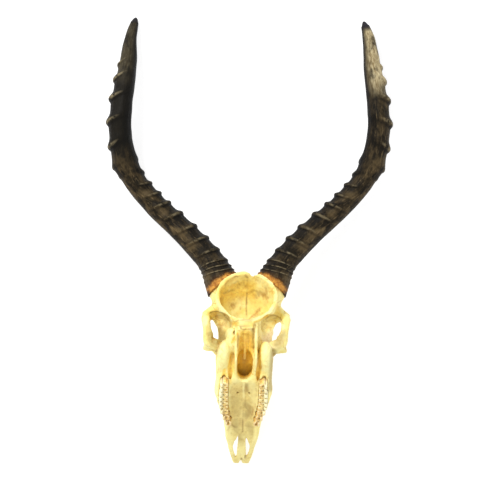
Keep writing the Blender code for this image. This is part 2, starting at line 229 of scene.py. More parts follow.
class Field:
    """Signed distance on a grid; below zero is solid."""

    def __init__(self, low, high, pitch):
        self.pitch = pitch
        self.low = np.array(low, float)
        self.axes = [np.arange(p, q, pitch) for p, q in zip(low, high)]
        self.value = np.full([len(axis) for axis in self.axes], FAR, np.float32)

    def change(self, shape, blend, rule):
        low, high, distance = shape
        reach = blend + 4 * self.pitch + 2
        cut = tuple(slice(*np.searchsorted(axis, (p - reach, q + reach)))
                    for axis, p, q in zip(self.axes, low, high))
        grid = np.meshgrid(*(axis[c] for axis, c in zip(self.axes, cut)),
                           indexing="ij", sparse=True)
        self.value[cut] = rule(self.value[cut], distance(*grid), blend)

    def add(self, shape, blend=0.0, both=False, rule=join):
        """Adds a shape, and its mirror image too where it is on both sides."""
        self.change(shape, blend, rule)
        if both:
            self.change(flipped(shape), blend, rule)

    def cut(self, shape, blend=0.0, both=False):
        self.add(shape, blend, both, lambda p, q, k: meet(p, -q, k))

    def solid_near(self, points, size):
        """Share of the space around each point that is solid; over a half is a hollow place."""
        width = max(1, int(round(size / self.pitch / 2)))
        share = (self.value < 0).astype(np.float32)
        for axis in range(3):
            pad = [(0, 0)] * 3
            pad[axis] = (width + 1, width)
            total = np.cumsum(np.pad(share, pad, mode="edge"), axis=axis, dtype=np.float64)
            n = share.shape[axis]
            high = np.take(total, np.arange(2 * width + 1, 2 * width + 1 + n), axis=axis)
            low = np.take(total, np.arange(n), axis=axis)
            share = ((high - low) / (2 * width + 1)).astype(np.float32)
        index = np.round((points - self.low) / self.pitch).astype(int)
        index = np.clip(index, 0, np.array(share.shape) - 1)
        return share[index[:, 0], index[:, 1], index[:, 2]]

    def surface(self):
        """Surface nets: vertices in field units and quads."""
        v = self.value
        solid = v < 0
        size = np.array(v.shape) - 1
        some = np.zeros(size, np.int8)
        for corner in itertools.product((0, 1), repeat=3):
            some += solid[tuple(slice(c, c + n) for c, n in zip(corner, size))]
        cells = np.argwhere((some > 0) & (some < 8))
        number = np.full(size, -1, np.int64)
        number[tuple(cells.T)] = np.arange(len(cells))
        total, count = np.zeros((len(cells), 3)), np.zeros(len(cells))
        one = np.eye(3, dtype=int)
        for axis in range(3):
            for step in itertools.product((0, 1), repeat=2):
                p = cells + np.insert(step, axis, 0)
                q = p + one[axis]
                vp, vq = v[tuple(p.T)], v[tuple(q.T)]
                hit = (vp < 0) != (vq < 0)
                place = p[hit].astype(float)
                place[:, axis] += vp[hit] / (vp[hit] - vq[hit])
                total[hit] += place
                count[hit] += 1
        points = self.low + total / count[:, None] * self.pitch
        quads = []
        for axis in range(3):
            i, j = (axis + 1) % 3, (axis + 2) % 3
            edges = tuple(slice(0, -1) if k == axis else slice(1, -1) for k in range(3))
            after = tuple(slice(1, None) if k == axis else slice(1, -1) for k in range(3))
            cross = np.argwhere(solid[edges] != solid[after])
            cross[:, [i, j]] += 1
            ring = np.stack([number[tuple((cross - di * one[i] - dj * one[j]).T)]
                             for di, dj in ((1, 1), (0, 1), (0, 0), (1, 0))], axis=1)
            outward = solid[tuple(cross.T)]
            ring[~outward] = ring[~outward][:, ::-1]
            quads.append(ring)
        return points, np.concatenate(quads)


def largest_part(points, quads):
    """Drops every loose crumb."""
    label = np.arange(len(points))
    pairs = np.concatenate([quads[:, [0, 1]], quads[:, [1, 2]], quads[:, [2, 3]]])
    while True:
        low = np.minimum(label[pairs[:, 0]], label[pairs[:, 1]])
        new = label.copy()
        np.minimum.at(new, pairs[:, 0], low)
        np.minimum.at(new, pairs[:, 1], low)
        new = new[new]
        if (new == label).all():
            break
        label = new
    keep = label == np.bincount(label).argmax()
    renumber = np.cumsum(keep) - 1
    return points[keep], renumber[quads[keep[quads[:, 0]]]]


# ---- meshes
def make_piece(node, points, faces, material):
    """A smooth piece that stands for one CAD node."""
    mesh = bpy.data.meshes.new("detailed_" + node)
    mesh.from_pydata(points.tolist(), [], faces)
    mesh.polygons.foreach_set("use_smooth", np.ones(len(mesh.polygons), bool))
    mesh.update()
    piece = bpy.data.objects.new(mesh.name, mesh)
    bpy.context.scene.collection.objects.link(piece)
    mesh.materials.append(material)
    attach(piece, "root")
    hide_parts(node)
    return piece


def mesh_vectors(mesh, key):
    """Every vertex's place, "co", or its "normal"."""
    values = np.empty(len(mesh.vertices) * 3)
    mesh.vertices.foreach_get(key, values)
    return values.reshape(-1, 3)


def set_places(mesh, points):
    """Moves the vertices to points in skull axes."""
    mesh.vertices.foreach_set("co", to_rest(points).ravel())
    mesh.update()


def set_masks(mesh, masks):
    """Numbers and vectors at each vertex, which the materials read by name."""
    for name, values in masks.items():
        values = np.ascontiguousarray(values, np.float32)
        kind, key = ("FLOAT", "value") if values.ndim == 1 else ("FLOAT_VECTOR", "vector")
        mesh.attributes.new(name, kind, "POINT").data.foreach_set(key, values.ravel())


def relax(mesh, values, rounds):
    """Averages a value over neighbouring vertices."""
    edges = np.empty(len(mesh.edges) * 2, np.int32)
    mesh.edges.foreach_get("vertices", edges)
    p, q = edges[::2], edges[1::2]
    count = np.bincount(np.concatenate((p, q)), minlength=len(values)) + 1.0
    for _ in range(rounds):
        total = (np.bincount(p, values[q], len(values)) + np.bincount(q, values[p], len(values)))
        values = (values + total) / count
    return values


# ---- the skull's measures
# lowest and highest d of the face against a, and its half widths low, midway and high
FACE = [(-14, 3, 10, 11.5, 12.5, 10), (-27, 2, 17, 14.6, 15.6, 13), (-42, 1, 25, 18.8, 20, 16.5),
        (-59, 0, 34, 21, 23.5, 17.5), (-72, -1, 42, 22, 25.5, 17), (-84, -3, 52, 25, 29.4, 15),
        (-96, -3, 57, 29.5, 32.6, 16), (-115, -3, 63, 32, 33.6, 20), (-130, -3, 69, 32, 34, 24),
        (-145, -3, 75, 31, 33.6, 29), (-158, 4, 80, 26, 33, 33), (-170, 14, 84, 17, 24, 35)]
# the same for the nasal passage, with one half width
NOSE = [(15, 10, 36, 9), (-14, 8, 37, 9.5), (-42, 6.5, 37, 15), (-70, 6, 45, 18),
        (-100, 8, 53, 21), (-130, 10, 62, 23), (-148, 14, 64, 18)]
# plates of bone against a: middle d, half width, half thickness
NASALS = [(-38, 41, 4, 1.5), (-46, 43, 8.5, 2), (-80, 52, 11, 2.4), (-112, 62, 13, 3),
          (-150, 76, 15, 4)]
INCISIVE = [(8, 8, 9.6, 2), (3, 7.5, 12, 2.6), (-10, 6, 14.2, 2.8), (-25, 4.5, 16.2, 2.8),
            (-42, 4.2, 19.6, 2.6), (-60, 5.5, 21, 2)]
# centre, radii, how far it blends into its neighbours; one off the middle is on both sides
MASSES = [((0, -224, 61), (38.4, 53, 29.5), 6), ((0, -176, 66), (37, 33, 20), 8),
          ((0, -178, 46), (19.5, 36, 27), 6), ((0, -196, 30), (10, 26, 7), 4),
          ((26, -163, 16), (8.5, 25, 15), 4), ((45, -180, 31), (7, 10, 6), 3)]
# the bars round the eye socket: (x, a, d, radius) points and the blend
BARS = [
    ([(25.5, -150, 70, 6), (31.5, -160, 75, 5.5), (37, -172, 77.5, 5.5), (43.5, -179, 75, 5.4),
      (48.5, -187, 67, 5), (50.5, -192, 58, 5), (49.5, -193, 50, 5.2), (47.5, -190, 40, 5.6),
      (46.5, -185, 33, 6.2), (45, -178, 29.5, 6.4), (37, -172, 30, 7.5)], 2.5),
    ([(33, -160, 34, 7), (30, -152, 52, 6.5), (25.5, -150, 70, 6)], 4),
    ([(28, -198, 82, 10), (40, -190, 77, 7), (49, -189, 68, 5)], 4),
    ([(22, -192, 80, 16.5), (29, -206, 95, 19.5)], 4),
]
# balls: centre and radii
BRAIN = ((0, -225, 60.5), (33.8, 47, 25.6))
CHOANA = ((0, -157, 8), (11.5, 19, 23))
CHANNEL = ((0.6, -185, 12), (10, 30, 14))
PALE_PATCH = ((24, -222, 66), (14, 30, 26))
# painted light: the top of the vault, on both sides, is painted paler than the gold round it
VAULT_TOP_LIGHT = ((14, -246, 78), (22, 16, 20))
EYE = ((46, -174, 50), (25, 18.5, 19))
ARCH_GAP = ((36, -195, 32), (12.5, 22, 20))
HOLLOWS = [(BRAIN, 1), (((0, -262, 66), (31, 40, 20)), 2), (EYE, 1.5), (ARCH_GAP, 1.5),
           (((0, -100, -7), (17, 46, 8.6)), 6), (CHOANA, 1.5), (CHANNEL, 2)]
RIM_NOTCH = ((8, -247, 94), (13, 16, 10))
# outlines on the ground plan, as (x, distance from the snout tip)
SNOUT_SLOTS = [
    [(-4.8, 36.5), (-4.9, 28), (-5.5, 10), (-7.2, 6.5), (-10.2, 15), (-11.5, 20), (-9.8, 26.5)],
    [(5.0, 35.5), (8.2, 28.5), (10.7, 22), (10.4, 17), (7.9, 9.5), (6, 9), (5.4, 20.5)]]
CHEEK_OPENINGS = [
    [(38.5, 181), (43.5, 184), (45.5, 181), (44.5, 173), (42, 167.5), (36, 165), (35, 173.5)],
    [(-44.5, 183), (-42, 183), (-36, 173), (-35, 166), (-37, 163.5), (-43, 173.5)]]
VOMER = [(0, -158, 21, 1.3), (0, -166, 22, 1.8), (0, -180, 26, 2.2), (0, -204, 30.5, 3)]
# the left groove and the mark behind the last left tooth are given mirrored, with x above zero
LEFT_GROOVE = [(17.2, -138, 0, 1.8), (17.4, -148, 1, 2.4), (16.8, -160, 4, 2.6),
               (15.6, -170, 10, 2.0)]
RIGHT_GROOVE = [(17.2, -138, 0, 1.8), (17.4, -148, 1, 2.4), (17.2, -164, 6, 2.8),
                (16.6, -180, 14, 2.4), (15.5, -194, 23, 1.8)]
LEFT_MARK = [(26, -146, -2), (24.5, -156, 1)]
# thin plates beside the way into the throat: centre, half size, edge, turn, blend
THROAT_PLATES = [((13.5, -158, 10), (1.7, 22, 12), 1.5, (0, 0, 2), 2),
                 ((13.6, -186, 22), (1.9, 18, 10), 1.5, (-16, 0, -2), 2.5),
                 ((-10.6, -156, 10), (1.5, 20, 12), 1.4, (0, 0, -1), 2),
                 ((-11.0, -182, 22), (1.7, 15, 10), 1.5, (-16, 0, -3), 2)]
KNOBS = [(-6, -201, 27), (5, -203, 28), (0, -197, 26), (9, -198, 31), (-10, -203, 33)]
# small holes on both sides: start and end as (x, a, d, radius), and the blend
HOLES = [((7.3, -118, 1, 1.1), (7.6, -121, 6, 1), 1), ((22, -79, 12, 1.8), (31, -75, 14, 2.4), 1.5),
         ((21, -170, 78, 1.6), (21, -168, 92, 1.8), 1.5),
         ((22, -196, 38, 1.6), (30, -200, 36, 2), 1), ((17, -182, 34, 1.6), (24, -180, 36, 2), 1)]
# name, length, width, and x and a of the middle of each tooth
TEETH = [("m3", 15.4, 10.0, 24.4, -137), ("m2", 14.9, 11.4, 24.9, -121.2),
         ("m1", 11.9, 11.4, 24.9, -107.2), ("p4", 9.2, 10.4, 23.4, -96),
         ("p3", 9, 8.8, 20.9, -86.2), ("p2", 8.6, 7.6, 17.9, -76.8)]
CROWN_TIP, ROOT_END = -12.5, 6.0

# marks drawn on the ground plan: radius, strength, and points (x, distance from the snout tip)
VAULT_LINES = [
    (1.5, 0.95, (0.4, 219), (0.2, 204), (0.6, 191)), (1.8, 0.3, (0.3, 236), (0.4, 219)),
    (2.4, 0.5, (-28, 218), (-23, 221), (-17, 222.5)),
    (2.4, 0.5, (4, 219.5), (8, 223), (13, 221), (15, 216.5)),
    (1.5, 0.4, (-15.5, 231), (-12, 233.5), (-9.5, 230)), (2, 0.3, (-30, 212), (-30, 196)),
    (1.9, 0.6, (-7.5, 200.5), (-7.2, 198.5)), (3, 0.5, (16, 221), (21, 218)),
    (2.4, 0.6, (-24, 192), (-12, 185.5), (2, 184), (14, 186)), (2.2, 0.7, (-2.5, 241), (0, 239)),
]
PALATE_LINES = [
    (0.9, 0.4, (0.2, 70), (0.3, 56)), (1.3, 0.95, (0.5, 56), (0.8, 37)),
    (1.6, 0.6, (-13.4, 51), (-10, 48.4), (-6.5, 47.6)), (1.5, 0.8, (7.6, 93)),
    (1.2, 0.5, (-19.5, 96)), (1.2, 0.5, (-19, 88)), (1.4, 0.4, (-8, 95), (-8.2, 93)),
    (1.3, 0.35, (3.5, 90), (2.5, 80), (6, 72), (14, 62)), (1.6, 0.35, (-14, 40), (-13.2, 37)),
    (1.4, 0.3, (12.3, 48.5), (4, 50)), (2, 1, (5.4, 8.5), (5.2, 6)), (2.4, 1, (0.4, 4)),
]
GROOVE_LINES = [
    (1.2, 0.3, (-16.1, 152), (-16, 138), (-16.4, 125)),
    (1.2, 0.2, (15.8, 160), (16.6, 148), (17.2, 137)), (1.5, 0.95, (-14, 170), (-13.8, 168.5)),
    (1.2, 0.35, (-8.4, 168), (-9.2, 152)), (2.2, 0.6, (12.4, 178), (11.6, 172)),
    (1.6, 0.6, (0.6, 136), (0.4, 134)),
]
# Dark lines, partly painted shadow: those under the vault's rim, round the knob below it and under
# the arcs over the eye sockets.
BROW_LINES = [
    (1.2, 0.7, (-45.5, 192.5), (-40, 194.5), (-32, 194), (-26.5, 189.5)), (1.9, 1, (-27, 190)),
    (1.4, 0.7, (25.5, 187), (31, 191.5), (38, 191.5), (44.5, 187.5), (46.5, 183)),
    (1.3, 0.6, (-12, 184.5), (-7, 186.5), (0, 187.5), (8, 187), (14, 190)),
    (1.4, 0.9, (-7, 178), (-5, 175), (2.5, 175), (10.5, 176.5), (12.5, 180)),
    (1.3, 0.45, (-2, 182), (1, 180)), (1.3, 0.55, (9.5, 182), (9.5, 169), (9.2, 158)),
    (0.9, 0.35, (-3, 170), (-2, 147)), (0.9, 0.35, (4, 170), (4.6, 147)), (1.7, 1, (-14.2, 170.5)),
    (0.9, 0.5, (-16, 161), (-11, 168.5)),
    (1, 0.4, (-27.5, 188.5), (-21, 183.5), (-18.5, 178.5), (-22.5, 168), (-24.5, 161.5)),
    (1, 0.45, (-34.5, 158), (-32.5, 152), (-33.5, 140)),
    (0.9, 0.35, (-17, 157.5), (-14, 149), (-14.5, 133)),
    (0.9, 0.35, (16, 183), (17, 169), (18.5, 161), (35, 160.5)), (0.9, 0.3, (16.5, 104), (19, 130)),
    (1.2, 0.4, (4.5, 183)), (0.9, 0.25, (-20, 240), (-29, 232), (-33, 222)),
]
PALE_LINES = [
    (2, 1, (-0.2, 111), (0.1, 97), (0.6, 88)), (9.5, 0.75, (12, 104), (15, 92), (17, 84)),
    (1.4, 0.9, (7.2, 91.5), (12, 86)), (4, 0.7, (-10.5, 110), (-14.5, 118)),
    (7.5, 0.95, (-19, 48), (-16, 30), (-11, 14)), (4, 0.6, (17.5, 46), (16, 30), (11, 14)),
    (8, 0.8, (0, 24), (0.5, 4)),
]
GOLD_LINES = [
    (5.6, 0.75, (-3, 181), (8, 181)), (4.6, 0.7, (-10.5, 182), (-17.5, 181)),
    (2.2, 0.95, (-16.5, 158), (-9.5, 170)), (3, 0.95, (-12.6, 165), (-13, 162)),
    (2.4, 0.8, (10, 184), (18, 187), (27, 191)), (5, 0.5, (34, 208), (41, 199)),
    (2.2, 0.6, (-9.5, 186), (-20, 189)), (4, 0.4, (-36, 196), (-44, 186)),
    (2, 0.35, (27, 176), (38, 182), (45, 172)), (2.4, 0.7, (-22, 118), (-26, 108)),
]
CHEEK_SHADES = [
    (6.5, 0.8, (36, 148), (35, 128), (34.5, 100)), (9, 0.72, (40, 158), (45, 170)),
    (7, 0.5, (-3, 182), (6, 182)), (4.2, 0.55, (-10.5, 182), (-17.5, 181.5)),
    (6, 0.3, (-38, 158), (-41, 170)), (3, 0.18, (-28, 118), (-30, 140)),
]
BROW_PALE_LINES = [
    (8, 0.65, (25, 181), (22.5, 170)), (1.6, 0.9, (13.4, 181), (14.7, 150), (15.7, 134)),
    (1.5, 0.9, (-8.6, 172), (-8.4, 150), (-8.4, 131)), (4.5, 0.5, (-14, 176), (-19, 166)),
]
OLIVE_LINES = [
    (4.2, 0.7, (3.8, 104), (4.6, 98)), (6.5, 0.6, (3.6, 78), (9, 71), (5, 64)),
    (11, 0.25, (-10, 84), (-12, 68)), (4.5, 0.5, (-1.5, 36), (-3, 22)),
    (6.5, 0.45, (8, 52), (13, 40)), (6, 0.35, (-9, 56), (-7, 44)),
]
# seams between the bones, in skull axes, on both sides
SEAMS = [
    [(0, -150, 81), (8, -146, 79), (15, -140, 74), (16, -112, 64), (13, -80, 54), (9, -50, 44)],
    [(20, -42, 3), (22, -52, 14), (20, -64, 28), (15, -74, 42)],
    [(0, -205, 88), (14, -204, 90), (26, -188, 90)],
    [(36, -140, 30), (37, -132, 44), (32, -138, 60), (26, -146, 72)],
    [(0, -122, 2), (9, -119, 2), (15, -126, 1)],
]

# ---- the horns' measures
# points on the middle of the right horn, before the offset, and diameters against the distance
HORN_LINE = [(31, 229, 51), (46.5, 259, 43), (81, 296, 33), (114, 326, 27), (142, 357, 26),
             (157.5, 387, 30), (165, 418, 34), (165, 448, 35.5), (161, 480, 31), (156.5, 511, 20.5),
             (153, 545, 6), (145, 577, -9.5)]
HORN_DIAMETERS = [(0, 46), (15, 40), (35, 34), (86, 31.5), (131, 30), (173, 28.6), (207, 30.4),
                  (239, 30.6), (269, 29.2), (281, 28.6), (310, 26), (340, 21.8), (354, 19.4),
                  (376, 15), (398, 9.4), (404, 6), (407, 3)]
SHEATH_WALL, GAP = 3.6, 0.35
CORE_SHOWN = 24.0                        # the bony core is modelled this far into its sheath
RIM_START, RIM_TILT = -2.2, -0.14        # of a sheath's open end: lower on the outer side
CORE_LENGTH, CORE_TAPER, CORE_ROOT = 170.0, 0.14, 14
ROOM_RADIUS, ROOM_LENGTH = 34, 40        # cleared of other bone for each sheath
POINT_LENGTH, TIP_WIDTH = 4, 3.0         # of the horn's point, where the rings are closer
RUN_BELOW = 12.0                         # the curve is carried on this far below the skin line
BEND, BEND_ANGLE = 203, 345              # where the outer side bulges, and which way it faces
# distance of each ring, then against the distance: their height, the angle they face, their slant
RING_CRESTS = [6, 12, 18, 25, 40, 60, 81, 105, 126, 143.5, 162, 179, 195, 226, 255, 283.5, 309, 330]
RING_HEIGHTS = [(0, 0.3), (5, 0.9), (22, 1.6), (40, 2.3), (60, 3.0), (110, 3.4), (140, 3.2),
                (165, 2.6), (195, 3.0), (212, 3.6), (226, 4.6), (290, 4.5), (309, 3.8), (330, 2.6),
                (346, 0.5), (407, 0)]
RING_SIDE = [(0, 175), (120, 180), (170, 200), (195, 262), (226, 330), (300, 345), (407, 350)]
RING_TILT = [(0, 2.5), (40, 5), (90, 6.5), (200, 7.5), (407, 8.5)]

# ---- sections and shapes of the skull
def table_reader(rows, spread=7.0):
    """Columns of a table against its first one, smoothed."""
    rows = np.array(sorted(rows), float)
    fine = np.arange(rows[0, 0] - 30, rows[-1, 0] + 30, 1.0)
    window = np.hanning(int(2 * spread) + 3)
    window /= window.sum()
    half = len(window) // 2
    columns = []
    for column in rows[:, 1:].T:
        slope = np.interp(fine, rows[:, 0], column)
        padded = np.concatenate((np.full(half, slope[0]), slope, np.full(half, slope[-1])))
        columns.append(np.convolve(padded, window, "valid"))
    return lambda a: [np.interp(a, fine, column) for column in columns]


def lofted(rows, section, ends):
    """Long shape whose section follows a table against a."""
    read = table_reader(rows)
    first, last = min(r[0] for r in rows), max(r[0] for r in rows)

    def distance(x, a, d):
        q = section(x, d, *read(a))
        return meet(meet(q, a - last, ends), first - a, ends)
    return np.array((-45.0, first, -8.0)), np.array((45.0, last, 92.0)), distance


def face_section(x, d, low, high, w_low, w_mid, w_high):
    t = np.clip((d - low) / (high - low), 0, 1)
    width = (w_low * (1 - t) * (1 - 2 * t) + w_mid * 4 * t * (1 - t) + w_high * t * (2 * t - 1))
    side = (np.abs(x) - width) * 0.95
    return meet(meet(side, (d - high) * 0.95, 14), low - d, 4)


def nose_section(x, d, low, high, width):
    middle, tall = (low + high) / 2, (high - low) / 2
    near = ((np.abs(x) / width) ** 3 + (np.abs(d - middle) / tall) ** 3) ** (1 / 3)
    return (near - 1) * np.minimum(width, tall)


def plate_section(bow, edge):
    """Section of a plate that bows down to its sides."""
    def section(x, d, middle, width, thick):
        return meet(np.abs(d - (middle - bow * x * x)) - thick, np.abs(x) - width, edge)
    return section


def horn_frames(steps=16):
    """Distance, centre, direction, across and depth along the right horn, before the offset."""
    chain = smooth_chain(HORN_LINE, steps)
    run = np.concatenate(([0.0], np.cumsum(np.linalg.norm(np.diff(chain, axis=0), axis=1))))
    ahead = np.gradient(chain, axis=0)
    ahead /= np.linalg.norm(ahead, axis=1)[:, None]
    across = np.cross(ahead, (0, 0, 1))
    across /= np.linalg.norm(across, axis=1)[:, None]
    return run, chain, ahead, across, np.cross(across, ahead)


def horn_base(side):
    """Start and direction of a horn, in skull axes."""
    _, chain, ahead, across, _ = horn_frames()
    flip = np.array((side, 1, 1))
    start = to_skull((chain[0] * flip + HORN_OFFSET)[None])[0]
    return start, (ahead[0] * flip) @ SKULL_TURN, (across[0] * flip) @ SKULL_TURN


def core(side):
    """Bone inside the sheath, and the room that the sheath needs around it."""
    start, along, outer = horn_base(side)
    radius = HORN_DIAMETERS[0][1] / 2 - SHEATH_WALL - GAP

    def split(x, a, d):
        p = (x - start[0], a - start[1], d - start[2])
        s, out = (p[0] * v[0] + p[1] * v[1] + p[2] * v[2] for v in (along, outer))
        r = np.sqrt(np.maximum(p[0] ** 2 + p[1] ** 2 + p[2] ** 2 - s * s, 0))
        return s, r, s - RIM_START - RIM_TILT * np.clip(out, -26, 26)

    def inside(x, a, d):
        s, r, _ = split(x, a, d)
        side = r - (radius - CORE_TAPER * np.maximum(s, 0))
        return meet(side, np.maximum(s - CORE_SHOWN, -CORE_ROOT - s), 3)

    def room(x, a, d):
        s, r, past = split(x, a, d)
        ring = np.maximum(radius - CORE_TAPER * np.maximum(s, 0) - r, -0.8 - past)
        return np.maximum(np.maximum(ring, r - ROOM_RADIUS), s - ROOM_LENGTH)
    low, high = start - 38, start + 48
    return (low, high, inside), (low, high, room)


def saw_plane(x, a, d):
    """Distance past the saw cut; above zero has been cut away."""
    run, rise = SAW_HIGH[0] - SAW_LOW[0], SAW_HIGH[1] - SAW_LOW[1]
    size = math.hypot(run, rise)
    return ((a - SAW_LOW[0]) * -rise + (d - SAW_LOW[1]) * run) / size


def carve_skull(pitch):
    f = Field((-70, -262, -12), (70, 18, 132), pitch)
    f.add(lofted(FACE, face_section, 3))
    for centre, radii, blend in MASSES:
        f.add(ball(centre, radii), blend, both=centre[0] != 0)
    for chain, blend in BARS:
        f.add(rod(chain), blend, both=True)
    # bump above the molars, and the ridge along the cheek
    f.add(ball((28.5, -108, 20), (7, 11, 8)), 6, both=True)
    f.add(rod([(29, -108, 22, 2.5), (31, -128, 27, 2.5), (33, -150, 30, 3)]), 5, both=True)
    f.cut(lofted(NOSE, nose_section, 3), 1.5)
    for (centre, radii), blend in HOLLOWS:
        f.cut(ball(centre, radii), blend, both=centre[0] != 0)
    f.cut(ball(*RIM_NOTCH), 1.5)
    # room under the roof of each eye socket, and the bars round it made whole again
    f.cut(block(level(35.5, 180, 82), (17, 14.5, 31), 12, (-38, 0, 0)), 2, both=True)
    f.add(block((29, -176, 77.5), (14, 15, 2.4), 2, (12, 0, 0)), 3, both=True)
    for chain, blend in BARS[:2]:
        f.add(rod(chain), 2, both=True)
    # flat cheek flange with a squared corner, and the flat outer faces of the bars
    f.add(block((43.4, -172.5, 29), (7.6, 9.6, 3.0), 1.6, (0, 0, -12)), 2, both=True)
    f.add(block((47.5, -186, 50), (3.4, 6.4, 20), 1.4, (0, 12, 0)), 3, both=True)
    f.add(block((46.5, -183, 72), (6.5, 8, 3.2), 1.4, (0, 24, 0)), 3, both=True)
    f.add(ball((26, -163, 16), (8.5, 25, 15)), 2, both=True)
    f.add(lofted(NASALS, plate_section(0.02, 2), 1), 2)
    # the snout's flat bars with a raised edge, then its slots and the dent in its tip
    f.add(lofted(INCISIVE, plate_section(0, 2.5), 1.5), 4)
    f.add(rod([(18.8, -68, 0.8, 1.6), (18.4, -46, 1.6, 2.0), (14.4, -26, 3.4, 2.0),
               (10.8, -8, 5.6, 1.8), (7, 1, 6.8, 1.8)]), 3, both=True)
    f.add(rod([(6.6, -50, 2.6, 1.2), (5.6, -38, 3, 1.6), (4.4, -20, 4.4, 1.8), (3.8, -2, 6, 2)]),
          2.5, both=True)
    for outline in SNOUT_SLOTS:
        f.cut(prism(outline, -8, 38), 1)
    f.cut(ball((-0.4, 9.5, 7), (1.8, 7.5, 9)), 1.5)
    for outline in CHEEK_OPENINGS:
        f.cut(prism(outline, 18, 96), 1)
    # a mass for the scrolls of thin bone that fill the passage further in
    f.add(ball((0, -134, 41), (21, 34, 21)), 3)
    for centre, half, edge, turn, blend in THROAT_PLATES:
        f.add(block(centre, half, edge, turn), blend)
    # swelling on the left of the throat with a hole in it, and the knobbed bone below the vault
    f.add(ball((-17.5, -189, 29), (8, 10, 7)), 3)
    f.add(ball((-17, -178, 24), (7, 16, 9), (-16, 0, 0)), 4)
    f.cut(rod([(-14.5, -194, 18, 1.3), (-14.5, -197, 32, 1.3)], 1), 0.8)
    f.add(ball((0, -203, 32), (8, 7, 6)), 2)
    for centre in KNOBS:
        f.add(ball(centre, (3.0, 2.6, 2.4)), 1.2)
    f.cut(ball((0, -203, 24), (2.6, 2.6, 3)), 1)
    # ridge and grooves in the way into the throat, and the palate's back edge
    f.add(rod(VOMER), 3)
    f.cut(rod(RIGHT_GROOVE), 2)
    f.cut(flipped(rod(LEFT_GROOVE)), 2)
    f.add(rod([(11.4, -168, 6, 1.0), (10.6, -152, 3, 1.1), (6.2, -142, 1.6, 1.2),
               (0, -138.4, 1.4, 1.2)]), 1.5, both=True)
    # rims round the tooth rows, and their sockets
    f.add(rod([(x + w / 2 + 0.3, a, -1.6, 1.6) for _, _, w, x, a in TEETH], 3), 2, both=True)
    f.add(rod([(x - w / 2 - 0.3, a, -1.2, 1.5) for _, _, w, x, a in TEETH], 3), 2, both=True)
    for _, length, width, x, a in TEETH:
        f.cut(block((x, a, -1), (width / 2 + 0.1, length / 2 + 0.3, ROOT_END + 1.6), 2.2), 0.6,
              both=True)
    # ridge of the palate, the small holes, and the pit behind each last tooth
    f.add(rod([(0, -138, 1.6, 1.2), (0, -124, 2.2, 1.0), (0, -108, 3, 0.6)]), 2.5)
    for start, end, blend in HOLES:
        f.cut(rod([start, end], 1), blend, both=True)
    f.cut(ball((25, -146, -1), (2.2, 3, 3)), 1.5, both=True)
    for side in SIDES:
        inside, room = core(side)
        f.add(inside, 2)
        f.cut(room)
    f.change((np.array((-80, -270, 0)), np.array((80, -190, 140)), saw_plane), 0.8, meet)
    return f


def brain_relief(points):
    """Shallow swells and furrows inside the vault."""
    c, r = (np.array(v, float) for v in BRAIN)
    depth = np.linalg.norm((points - c) / r, axis=1)
    inside = ramp(1.35, 1.1, depth) * (points[:, 2] > 60)
    swell = noise(points * (1, 1, 0.5), 9, 41) * 0.7 + noise(points, 4.5, 42) * 0.35
    return inside * swell


def near_chain(points, chain, radius):
    """One on a line, fading to nothing at that distance."""
    rows = smooth_chain([c[:3] for c in chain], 4)
    best = np.full(len(points), 1e9)
    for p, q in zip(rows, rows[1:]):
        run = q - p
        t = np.clip(((points - p) @ run) / max(run @ run, 1e-9), 0, 1)
        best = np.minimum(best, np.linalg.norm(points - p - t[:, None] * run, axis=1))
    return ramp(radius, radius * 0.25, best)


def in_ball(points, shape, grow):
    """One inside a ball, fading to nothing at that many radii; off the middle, on both sides."""
    c, r = (np.array(v, float) for v in shape)
    c = np.where(np.arange(3) == 0, np.abs(c), c)
    p = points.copy()
    if c[0] > 0:
        p[:, 0] = np.abs(p[:, 0])
    return ramp(grow, 1.0, np.linalg.norm((p - c) / r, axis=1))


def thinned(piece, triangles):
    """The piece's mesh, brought under the most triangles that it may have."""
    if triangles > MOST_TRIANGLES:
        fewer = piece.modifiers.new("fewer", "DECIMATE")
        fewer.ratio = MOST_TRIANGLES / triangles
        graph = bpy.context.evaluated_depsgraph_get()
        new = bpy.data.meshes.new_from_object(piece.evaluated_get(graph))
        piece.modifiers.clear()
        old, piece.data = piece.data, new
        bpy.data.meshes.remove(old)
        new.name = piece.name
    return piece.data


def build_skull(material):
    field = carve_skull(SKULL_GRID)
    points, quads = largest_part(*field.surface())
    piece = make_piece("cranium", points, quads.tolist(), material)
    mesh = thinned(piece, len(quads) * 2)
    points, normals = mesh_vectors(mesh, "co"), mesh_vectors(mesh, "normal")
    cut_face = ramp(1.6, 0.5, np.abs(saw_plane(*points.T)))
    rough = noise(points, 2.6, 5) * 0.26 + noise(points, 8, 6) * 0.24 + noise(points, 17, 7) * 0.5
    veins = np.abs(noise(points + 2 * noise(points, 5, 8)[:, None], 9, 9))
    rough = rough - 0.3 * ramp(0.09, 0.0, veins)
    points = points + normals * (rough * (1 - cut_face) + brain_relief(points))[:, None]
    # the sawn rim runs unevenly round the vault
    middle = np.array(BRAIN[0], float)
    rim = ramp(1.3, 1.12, np.linalg.norm((points - middle) / BRAIN[1], axis=1)) * cut_face
    uneven = noise(points, 7, 51) * 1.1 + noise(points, 3.4, 52) * 0.7
    outward = (points - middle) * (1, 0.6, 0)
    outward /= np.linalg.norm(outward, axis=1)[:, None] + 1e-6
    points = points + outward * (rim * uneven)[:, None]
    masks = bone_masks(mesh, field, points)
    masks["sawn"] = cut_face
    set_masks(mesh, {name: np.clip(values, 0, 1) for name, values in masks.items()})
    set_places(mesh, points)


def drawn(plan, lines, where):
    """The strongest of a list of marks on the ground plan, inside a region."""
    mark = 0.0
    for radius, share, *line in lines:
        line = line if len(line) > 1 else line * 2
        mark = np.maximum(mark, share * where * near_chain(plan, line, radius))
    return mark


